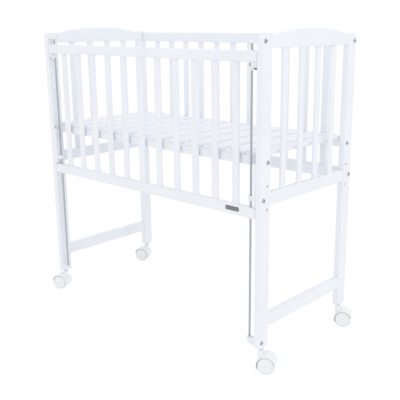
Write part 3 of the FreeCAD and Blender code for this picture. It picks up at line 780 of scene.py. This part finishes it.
@dataclass
class BlankPlate:
    """A small blank plate with two rivets, on the sliding side's bottom rail."""

    paint: Paintbox
    low: tuple[float, float] = (348.0, 458.6)
    high: tuple[float, float] = (396.0, 470.8)
    face_y: float = -221.0
    thick: float = 0.7
    sunk: float = 0.3
    corner: float = 2.0
    rim: float = 0.9
    step_wide: float = 0.25
    step_deep: float = 0.2
    rivet_inset: float = 3.2
    # (depth, radius) pairs, from the middle of a rivet's head to its back.
    rivet: tuple[tuple[float, float], ...] = (
        (-0.9, 0), (-0.85, 0.5), (-0.6, 1.0), (-0.1, 1.25), (0.4, 1.25), (0.4, 0))

    def build(self) -> None:
        """Make the plate and its rivets."""
        bm = bmesh.new()
        verts = block(bm, mm(self.low[0], self.face_y - self.thick, self.low[1]),
                      mm(self.high[0], self.face_y + self.sunk, self.high[1]))
        corners = [e for e in edges_of(verts)
                   if abs((e.verts[0].co - e.verts[1].co).normalized().y) > 0.9]
        round_off(bm, corners, self.corner * MM, segments=5)
        front = min(bm.faces, key=lambda f: f.calc_center_median().y)
        bmesh.ops.inset_region(bm, faces=[front], thickness=self.rim * MM, depth=0)
        bmesh.ops.inset_region(bm, faces=[front], thickness=self.step_wide * MM,
                               depth=-self.step_deep * MM)
        piece(bm, "blank_plate", self.paint.plate, "drop_side", sharp=25)
        bm = bmesh.new()
        middle = (self.low[1] + self.high[1]) / 2
        for x in (self.low[0] + self.rivet_inset, self.high[0] - self.rivet_inset):
            spun(bm, self.rivet, mm(x, self.face_y - 0.1, middle), -FORWARD, ALONG,
                 steps=16)
        piece(bm, "blank_plate_rivets", self.paint.zinc, "drop_side")


# ------------------------ mattress base

@dataclass
class MattressBase:
    """Two bolted rails and twelve laths, which are screwed down at both ends."""

    paint: Paintbox
    rail_y: float = 194.5
    rail_half_thick: float = 7.5
    rail_levels: tuple[float, float] = (589.0, 613.0)
    half_length: float = 452.5
    lath_levels: tuple[float, float] = (613.0, 622.0)
    lath_reach: float = 201.0
    lath_pitch: float = 80.0
    lath_count: int = 10
    lath_half_wide: float = 31.0
    lath_edge: float = 2.0
    end_lath_x: float = 429.0
    end_lath_half_wide: float = 20.0
    # (height, radius) pairs, from the bottom of a screw's recess over its rim and down.
    screw: tuple[tuple[float, float], ...] = (
        (0.15, 0), (0.1, 1.4), (-0.9, 1.5), (-0.9, 1.9), (0.2, 2.2), (0.2, 3.5), (-1.5, 3.5),
        (-1.5, 0))

    def lath_rows(self) -> list[tuple[float, float]]:
        """Lay out the laths.

        Returns:
            The middle and half width of each lath.
        """
        middle = (self.lath_count - 1) / 2
        rows = [((index - middle) * self.lath_pitch, self.lath_half_wide)
                for index in range(self.lath_count)]
        return rows + [(sign * self.end_lath_x, self.end_lath_half_wide) for sign in (-1, 1)]

    def build(self) -> None:
        """Make the base."""
        for face in Face:
            bm = bmesh.new()
            y = face.value * self.rail_y
            board(bm, mm(-self.half_length, y - self.rail_half_thick, self.rail_levels[0]),
                  mm(self.half_length, y + self.rail_half_thick, self.rail_levels[1]))
            wooden(bm, f"base_rail_{face.word}", self.paint, Run.X)
        bm = bmesh.new()
        for x, half in self.lath_rows():
            board(bm, mm(x - half, -self.lath_reach, self.lath_levels[0]),
                  mm(x + half, self.lath_reach, self.lath_levels[1]), self.lath_edge * MM)
        wooden(bm, "base_laths", self.paint, Run.Y)
        bm = bmesh.new()
        top = self.lath_levels[1]
        for x, half in self.lath_rows():
            # A wide lath has two screws at each end, and a narrow one has one.
            shifts = (-half / 2, half / 2) if half == self.lath_half_wide else (0,)
            for sign in (-1, 1):
                for shift in shifts:
                    spun(bm, self.screw, mm(x + shift, sign * self.rail_y, top), UP,
                         ALONG, steps=12)
        piece(bm, "base_lath_screws", self.paint.zinc, "frame")


# ------------------------ hardware

@dataclass
class SocketBolt:
    """Zinc-plated button-head bolts with a hexagon socket, on the posts' outer faces."""

    paint: Paintbox
    outer_x: float = 472.5
    line_y: float = 212.0
    base_line_y: float = 194.5
    head_radius: float = 6.0
    head_high: float = 3.5
    key_radius: float = 2.4
    key_deep: float = 2.2

    def head(self, bm: BMesh, seat: Vector, sign: int) -> None:
        """One bolt head.

        Args:
            bm: The mesh that it is added to.
            seat: Where its underside meets the post, on its axis.
            sign: 1 if it points along +X, -1 along -X.
        """
        r, h = self.head_radius, self.head_high
        profile = [(-6.0, 0.0), (-6.0, 3.0), (0.0, 3.0), (0.0, r), (0.9, r),
                   (h - 1.5, r - 0.7), (h - 0.6, r - 1.9), (h - 0.1, r - 2.9),
                   (h, self.key_radius + 0.25)]
        axis = ALONG * sign
        verts = spun(bm, profile, seat, axis, UP, steps=24)
        rim = [e for e in edges_of(verts) if e.is_boundary
               and (e.verts[0].co - seat).dot(axis) > (h - 0.2) * MM]
        face = bmesh.ops.contextual_create(bm, geom=rim)["faces"][0]
        half_flat = math.pi / 6
        for sink in (0.02, self.key_deep):
            bmesh.ops.inset_region(bm, faces=[face], thickness=THIN_RING)
            for v in face.verts:
                arm = v.co - seat
                arm -= axis * arm.dot(axis)
                # The angle from the middle of the nearest of the hexagon's six flats.
                angle = (math.atan2(arm.z, arm.y) + half_flat) % (2 * half_flat) - half_flat
                reach = self.key_radius * math.cos(half_flat) / math.cos(angle)
                v.co = seat + arm.normalized() * reach * MM + axis * (h - sink) * MM

    def build(self) -> None:
        """Make the heads of every bolt, row by row."""
        rows = {
            "bracket_bolts": [(-self.line_y, z) for z in (911.0, 501.0, 90.0)],
            "back_side_bolts": [(self.line_y, z) for z in (903.5, 502.0)],
            "mattress_base_bolts": [(sign * self.base_line_y, 601.0) for sign in (-1, 1)],
        }
        for node, places in rows.items():
            bm = bmesh.new()
            for side in Side:
                for y, z in places:
                    self.head(bm, mm(side.value * self.outer_x, y, z), side.value)
            bmesh.ops.recalc_face_normals(bm, faces=list(bm.faces))
            piece(bm, f"heads_{node}", self.paint.bolt, "frame", [node],
                  sharp=30)


@dataclass
class GuideLine:
    """A steel guide rod, its three holders and the stop strip on the post."""

    side: Side
    paint: Paintbox
    strip_x: tuple[float, float] = (442.5, 452.5)
    strip_y: tuple[float, float] = (-221.5, -203.5)
    strip_levels: tuple[float, float] = (480.0, 598.0)
    strip_edge: float = 1.5

    def build(self) -> None:
        """Dress the rod and its holders, and make the strip."""
        word = self.side.word
        dress(f"guide_rod_{word}", self.paint.rod)
        for level in ("top", "middle", "bottom"):
            dress(f"rod_{level}_bracket_{word}", self.paint.nylon)
        xs = sorted(self.side.value * x for x in self.strip_x)
        bm = bmesh.new()
        board(bm, mm(xs[0], self.strip_y[0], self.strip_levels[0]),
              mm(xs[1], self.strip_y[1], self.strip_levels[1]), self.strip_edge * MM)
        wooden(bm, f"post_stop_strip_{word}", self.paint, Run.Z)


@dataclass
class Catch:
    """A spring catch under one end of the sliding side's top rail."""

    side: Side
    paint: Paintbox
    knob_x: float = 443.5
    line_y: float = -212.0
    level: float = 843.0
    pin_x: tuple[float, float] = (435.0, 451.0)
    pin_radius: float = 2.5
    stem_radius: float = 1.4
    stem: tuple[float, float] = (-2.0, 9.95)
    knob_y: tuple[float, float] = (-221.9, -225.1)
    knob_radius: float = 3.4
    knob_flats: int = 32
    # How far the grooves of the knob's side are pressed in, as a share of its radius.
    grip_deep: float = 0.07

    def build(self) -> None:
        """Dress the housing and make the bolt with its thumb knob."""
        sign, word = self.side.value, self.side.word
        dress(f"catch_housing_{word}", self.paint.nylon)
        bm = bmesh.new()
        tip, tail = self.pin_x[1], self.pin_x[0]
        r = self.pin_radius
        spun(bm, [(tail, 0), (tail, r - 0.4), (tail + 0.4, r), (tip - 1.0, r),
                  (tip - 0.3, r - 0.7), (tip, r - 1.5), (tip, 0)],
             mm(0, self.line_y, self.level), ALONG * sign, UP, steps=24)
        near, far = self.stem
        spun(bm, [(near, 0), (near, self.stem_radius), (far, self.stem_radius), (far, 0)],
             mm(sign * self.knob_x, self.line_y, self.level), FORWARD, ALONG,
             steps=16)
        piece(bm, f"catch_pin_{word}", self.paint.zinc, f"catch_{word}",
              [f"catch_bolt_{word}"])
        bm = bmesh.new()
        base, cap = -self.knob_y[0], -self.knob_y[1]
        k = self.knob_radius
        verts = spun(bm, [(base, 0), (base, k - 0.3), (base + 0.3, k), (cap - 0.7, k),
                          (cap - 0.2, k - 0.4), (cap, k - 1.0), (cap - 0.35, 0)],
                     mm(sign * self.knob_x, 0, self.level), FORWARD, ALONG,
                     steps=self.knob_flats)
        # Every other line of the knob's side is pressed in a little, for the thumb's grip.
        for v in verts:
            arm = Vector((v.co.x - sign * self.knob_x * MM, 0, v.co.z - self.level * MM))
            step = round(math.atan2(arm.z, arm.x) * self.knob_flats / FULL_TURN)
            if arm.length > (k - 0.1) * MM and step % 2:
                v.co -= arm * self.grip_deep
        piece(bm, f"catch_knob_{word}", self.paint.knob, f"catch_{word}",
              sharp=30)


# ------------------------ castors

@dataclass
class Castor:
    """A twin-wheel castor under one post, with a hood over both wheels."""

    face: Face
    side: Side
    paint: Paintbox
    post_x: float = 462.5
    post_y: float = 202.0
    trail: float = 18.0
    trail_angle: float = 28.0
    wheel_radius: float = 25.0
    wheel_inner: float = 6.5
    wheel_outer: float = 23.0
    hood_inner: float = 26.3
    hood_outer: float = 28.6
    hood_first: float = 12.0
    hood_last: float = 206.0
    web_half: float = 5.5
    web_steps: int = 30
    # The web's two lower corners, as (x, z) from the axle.
    web_foot: tuple[tuple[float, float], ...] = ((-9.0, -10.0), (2.0, -11.0))
    neck_radius: float = 8.0
    neck_top: float = 66.0
    tag: str = field(init=False)
    turn: Matrix = field(init=False)

    def __post_init__(self) -> None:
        """Work out the castor's name and how its own frame stands under the post."""
        self.tag = f"{self.face.word}_{self.side.word}"
        angle = math.radians(self.trail_angle + (0 if self.side is Side.RIGHT else 180))
        shift = mm(self.side.value * self.post_x, self.face.value * self.post_y, 0)
        self.turn = Matrix.Translation(shift) @ Matrix.Rotation(angle, 4, "Z")

    def stand(self, bm: BMesh) -> BMesh:
        """Move a mesh from the castor's own frame to its place."""
        bmesh.ops.transform(bm, matrix=self.turn, verts=list(bm.verts))
        return bm

    def wheels(self) -> None:
        """Two discs with a raised hub and rim, and the soft treads round them."""
        # Both profiles are (distance from the castor's middle, radius) pairs.
        hub = mm(self.trail, 0, self.wheel_radius)
        r, inner, outer = self.wheel_radius, self.wheel_inner, self.wheel_outer
        disc = [(outer - 1.0, 0.0), (outer - 0.3, 1.5), (outer, 3.2), (outer - 0.1, 5.4),
                (outer - 0.9, 6.2), (outer - 1.3, 7.2), (outer - 1.3, r - 8.2),
                (outer - 0.9, r - 7.2), (outer - 0.2, r - 6.4), (outer, r - 5.4),
                (outer, r - 3.6), (outer - 0.5, r - 2.9), (inner + 0.6, r - 2.9),
                (inner + 0.4, r - 5.0), (outer - 7.0, r - 5.2), (outer - 7.0, 0.0)]
        tread = [(outer - 0.6, r - 3.2), (outer, r - 2.7), (outer - 0.25, r - 1.7),
                 (outer - 1.0, r - 0.75), (outer - 2.2, r - 0.15), (outer - 3.6, r),
                 (inner + 2.4, r), (inner + 1.0, r - 0.35), (inner + 0.2, r - 1.2),
                 (inner, r - 2.4), (inner + 0.5, r - 3.2), (outer - 0.6, r - 3.2)]
        for name, profile, material, slot, stands in (
                ("disc", disc, self.paint.disc, "castor_plastic", True),
                ("tread", tread, self.paint.tread, "castor_tread", False)):
            bm = bmesh.new()
            for sign in (-1, 1):
                spun(bm, profile, hub, -FORWARD * sign, UP, steps=56)
            piece(self.stand(bm), f"castor_{name}_{self.tag}", material,
                  f"wheels_{self.tag}",
                  [f"castor_wheels_{self.tag}"] if stands else (), sharp=35)

    def hood(self) -> None:
        """A crowned shell over the wheels, the web between them and the stem's neck."""
        half = self.wheel_outer + 0.5
        inner, outer = self.hood_inner, self.hood_outer
        bm = bmesh.new()
        # The shell's section, as (distance along the axle, radius) pairs, from lip to lip.
        profile = [(-half, inner - 0.2), (-half, inner + 0.7), (-half + 0.7, inner + 1.5),
                   (-half + 3.0, outer - 0.2), (-half + 7.0, outer), (half - 7.0, outer),
                   (half - 3.0, outer - 0.2), (half - 0.7, inner + 1.5), (half, inner + 0.7),
                   (half, inner - 0.2), (half - 1.2, inner - 0.2), (half - 2.4, inner),
                   (-half + 2.4, inner), (-half + 1.2, inner - 0.2)]
        centre = mm(self.trail, 0, self.wheel_radius)
        start = math.radians(self.hood_first)
        out = Vector((math.cos(start), 0, math.sin(start)))
        ring = [bm.verts.new(centre + Vector((0, along * MM, 0)) + out * radius * MM)
                for along, radius in profile]
        cap = bm.faces.new(ring)
        bmesh.ops.spin(bm, geom=[cap], cent=centre, axis=(0, -1, 0), dvec=(0, 0, 0),
                       angle=math.radians(self.hood_last - self.hood_first), steps=36,
                       use_merge=False, use_duplicate=False)
        bmesh.ops.recalc_face_normals(bm, faces=list(bm.faces))
        self.web(bm)
        self.neck(bm)
        piece(self.stand(bm), f"castor_hood_shell_{self.tag}", self.paint.hood,
              f"castor_{self.tag}", [f"castor_hood_{self.tag}"], sharp=35)

    def web(self, bm: BMesh) -> None:
        """Add the plate between the wheels, which holds the axle.

        Args:
            bm: The hood's mesh.
        """
        radius = self.hood_inner + 0.8
        first, last = self.hood_first + 2, self.hood_last - 2
        angles = [math.radians(first + (last - first) * i / self.web_steps)
                  for i in range(self.web_steps + 1)]
        rim = [mm(self.trail + radius * math.cos(a), 0,
                  self.wheel_radius + radius * math.sin(a)) for a in angles]
        foot = [mm(self.trail + along, 0, self.wheel_radius + above)
                for along, above in self.web_foot]
        shift = FORWARD * self.web_half * MM
        plate = bm.faces.new([bm.verts.new(p + shift) for p in rim + foot])
        grown = bmesh.ops.extrude_face_region(bm, geom=[plate])["geom"]
        verts = [g for g in grown if isinstance(g, BMVert)]
        bmesh.ops.translate(bm, vec=-2 * shift, verts=verts)
        solid = dict.fromkeys([plate] + [f for v in verts for f in v.link_faces])
        bmesh.ops.recalc_face_normals(bm, faces=list(solid))

    def neck(self, bm: BMesh) -> None:
        """Add the turned neck that the stem stands in.

        Args:
            bm: The hood's mesh.
        """
        r, top = self.neck_radius, self.neck_top
        spun(bm, [(46, 0.0), (46, r + 1.6), (52.5, r + 1.2), (54.5, r + 0.4), (57, r),
                  (top - 1.2, r), (top - 0.4, r - 0.3), (top, r - 1.1), (top, 4.0),
                  (top - 6, 4.0), (top - 6, 0.0)], mm(0, 0, 0), UP, ALONG)

    def build(self) -> None:
        """Make the wheels and hood, and dress the steel inside them."""
        self.wheels()
        self.hood()
        dress(f"castor_stem_{self.tag}", self.paint.zinc)
        dress(f"castor_axle_{self.tag}", self.paint.zinc)


# ------------------------ studio

def seen_directly(owner: Material | World) -> Node:
    """Add nodes that give 1 to what the camera sees, also in gloss or through glass.

    Args:
        owner: The material or world that gets the nodes.

    Returns:
        The node whose first output is that value.
    """
    path = add_node(owner, "ShaderNodeLightPath")
    seen = add_node(owner, "ShaderNodeMath", {
        0: path.outputs["Is Camera Ray"], 1: path.outputs["Is Glossy Ray"]},
        operation="MAXIMUM")
    return add_node(owner, "ShaderNodeMath", {
        0: seen.outputs[0], 1: path.outputs["Is Transmission Ray"]}, operation="MAXIMUM")


@dataclass(frozen=True)
class SoftBox:
    """A square soft lamp: its name, its place, its size in metres and its watts."""

    name: str
    place: tuple[float, float, float]
    size: float
    power: float


@dataclass
class Studio:
    """A pale floor, an even white surround, two soft lamps and the camera."""

    camera_at: tuple[float, float, float] = (1.508, -1.535, 0.9521)
    yaw: float = 41.94
    pitch: float = 14.53
    roll: float = -0.17
    focal_px: float = 659.45
    middle_px: tuple[float, float] = (220.0, 195.0)
    image_px: float = 400.0
    sensor_mm: float = 36.0
    surround: float = 0.92
    # The seen floor is this share of even glow; the rest of it is lit and takes shadows.
    glow_share: float = 0.86
    floor_glow: float = 1.02
    floor_half: float = 12.0
    floor_colour: str = "FCFCFC"
    lamps: tuple[SoftBox, ...] = (SoftBox("side_softbox", (4.2, -1.6, 3.0), 2.6, 12.0),
                                  SoftBox("top_softbox", (0.6, -0.6, 3.8), 2.6, 6.0))
    lamps_face: tuple[float, float, float] = (0.0, 0.0, 0.5)

    def camera(self) -> None:
        """Stand the camera where the photograph was taken from."""
        data = bpy.data.cameras.new("camera")
        data.sensor_width = self.sensor_mm
        data.lens = self.focal_px / self.image_px * data.sensor_width
        data.shift_x = -(self.middle_px[0] / self.image_px - 0.5)
        data.shift_y = self.middle_px[1] / self.image_px - 0.5
        item = bpy.data.objects.new("camera", data)
        turn = (Matrix.Rotation(math.radians(self.yaw), 4, "Z")
                @ Matrix.Rotation(math.radians(90 - self.pitch), 4, "X")
                @ Matrix.Rotation(math.radians(self.roll), 4, "Z"))
        item.matrix_world = Matrix.Translation(self.camera_at) @ turn
        bpy.context.scene.collection.objects.link(item)
        bpy.context.scene.camera = item

    def floor(self) -> None:
        """Lay a floor that is seen as near white and keeps a soft shadow."""
        bm = bmesh.new()
        bmesh.ops.create_grid(bm, x_segments=2, y_segments=2, size=self.floor_half)
        mesh = bpy.data.meshes.new("floor")
        bm.to_mesh(mesh)
        bm.free()
        item = bpy.data.objects.new("floor", mesh)
        bpy.context.scene.collection.objects.link(item)
        m = blank_material("matt_white_studio_floor")
        share = add_node(m, "ShaderNodeMath", {
            0: seen_directly(m).outputs[0], 1: self.glow_share}, operation="MULTIPLY")
        matt = add_node(m, "ShaderNodeBsdfDiffuse", {"Color": linear(self.floor_colour)})
        glow = add_node(m, "ShaderNodeEmission", {
            "Color": (1, 1, 1, 1), "Strength": self.floor_glow})
        mixed = add_node(m, "ShaderNodeMixShader", {
            0: share.outputs[0], 1: matt.outputs[0], 2: glow.outputs[0]})
        add_node(m, "ShaderNodeOutputMaterial", {"Surface": mixed.outputs[0]})
        mesh.materials.append(m)

    def world(self) -> None:
        """Light the crib evenly from all round, and show white behind it."""
        world = bpy.data.worlds.new("studio")
        world.use_nodes = True
        world.node_tree.nodes.clear()
        strength = add_node(world, "ShaderNodeMapRange", {
            0: seen_directly(world).outputs[0], 3: self.surround, 4: 1.0})
        glow = add_node(world, "ShaderNodeBackground", {
            "Color": (1, 1, 1, 1), "Strength": strength.outputs[0]})
        add_node(world, "ShaderNodeOutputWorld", {"Surface": glow.outputs[0]})
        bpy.context.scene.world = world

    def hang(self, lamp: SoftBox) -> None:
        """Hang a soft lamp that faces the middle of the crib.

        Args:
            lamp: The lamp.
        """
        data = bpy.data.lights.new(lamp.name, "AREA")
        data.size = lamp.size
        data.energy = lamp.power
        item = bpy.data.objects.new(lamp.name, data)
        aim = Vector(self.lamps_face) - Vector(lamp.place)
        item.matrix_world = (Matrix.Translation(lamp.place)
                             @ aim.to_track_quat("-Z", "Y").to_matrix().to_4x4())
        bpy.context.scene.collection.objects.link(item)

    def build(self) -> None:
        """Set up the whole studio."""
        self.camera()
        self.floor()
        self.world()
        for lamp in self.lamps:
            self.hang(lamp)
        bpy.context.scene.view_settings.view_transform = "Standard"


# ------------------------ the crib

def build_crib(paint: Paintbox) -> None:
    """Build every sub-assembly in order.

    Args:
        paint: The finishes.
    """
    for face in Face:
        for side in Side:
            Post(face, side, paint).build()
            Castor(face, side, paint).build()
    for side in Side:
        EndPanel(side, paint).build()
        GuideLine(side, paint).build()
        Catch(side, paint).build()
    SlattedSide("back", "frame", paint, middle_y=212.5, half_length=452.5,
                top_rail=(891.0, 923.0), low_rail=(483.0, 520.0)).build()
    SlattedSide("drop_side", "drop_side", paint, middle_y=-212.0, half_length=451.5,
                top_rail=(859.0, 887.0), low_rail=(447.5, 477.0), slides=True).build()
    BlankPlate(paint).build()
    MattressBase(paint).build()
    SocketBolt(paint).build()
    dress("castor_sockets", paint.nylon)
    for level in ("lower", "upper"):
        dress(f"guide_bushes_{level}", paint.nylon)


def main() -> None:
    """Build the crib in its studio."""
    logging.basicConfig(level=logging.INFO, format="%(message)s", stream=sys.stdout)
    Studio().build()
    build_crib(Paintbox())


if __name__ == "__main__":
    main()
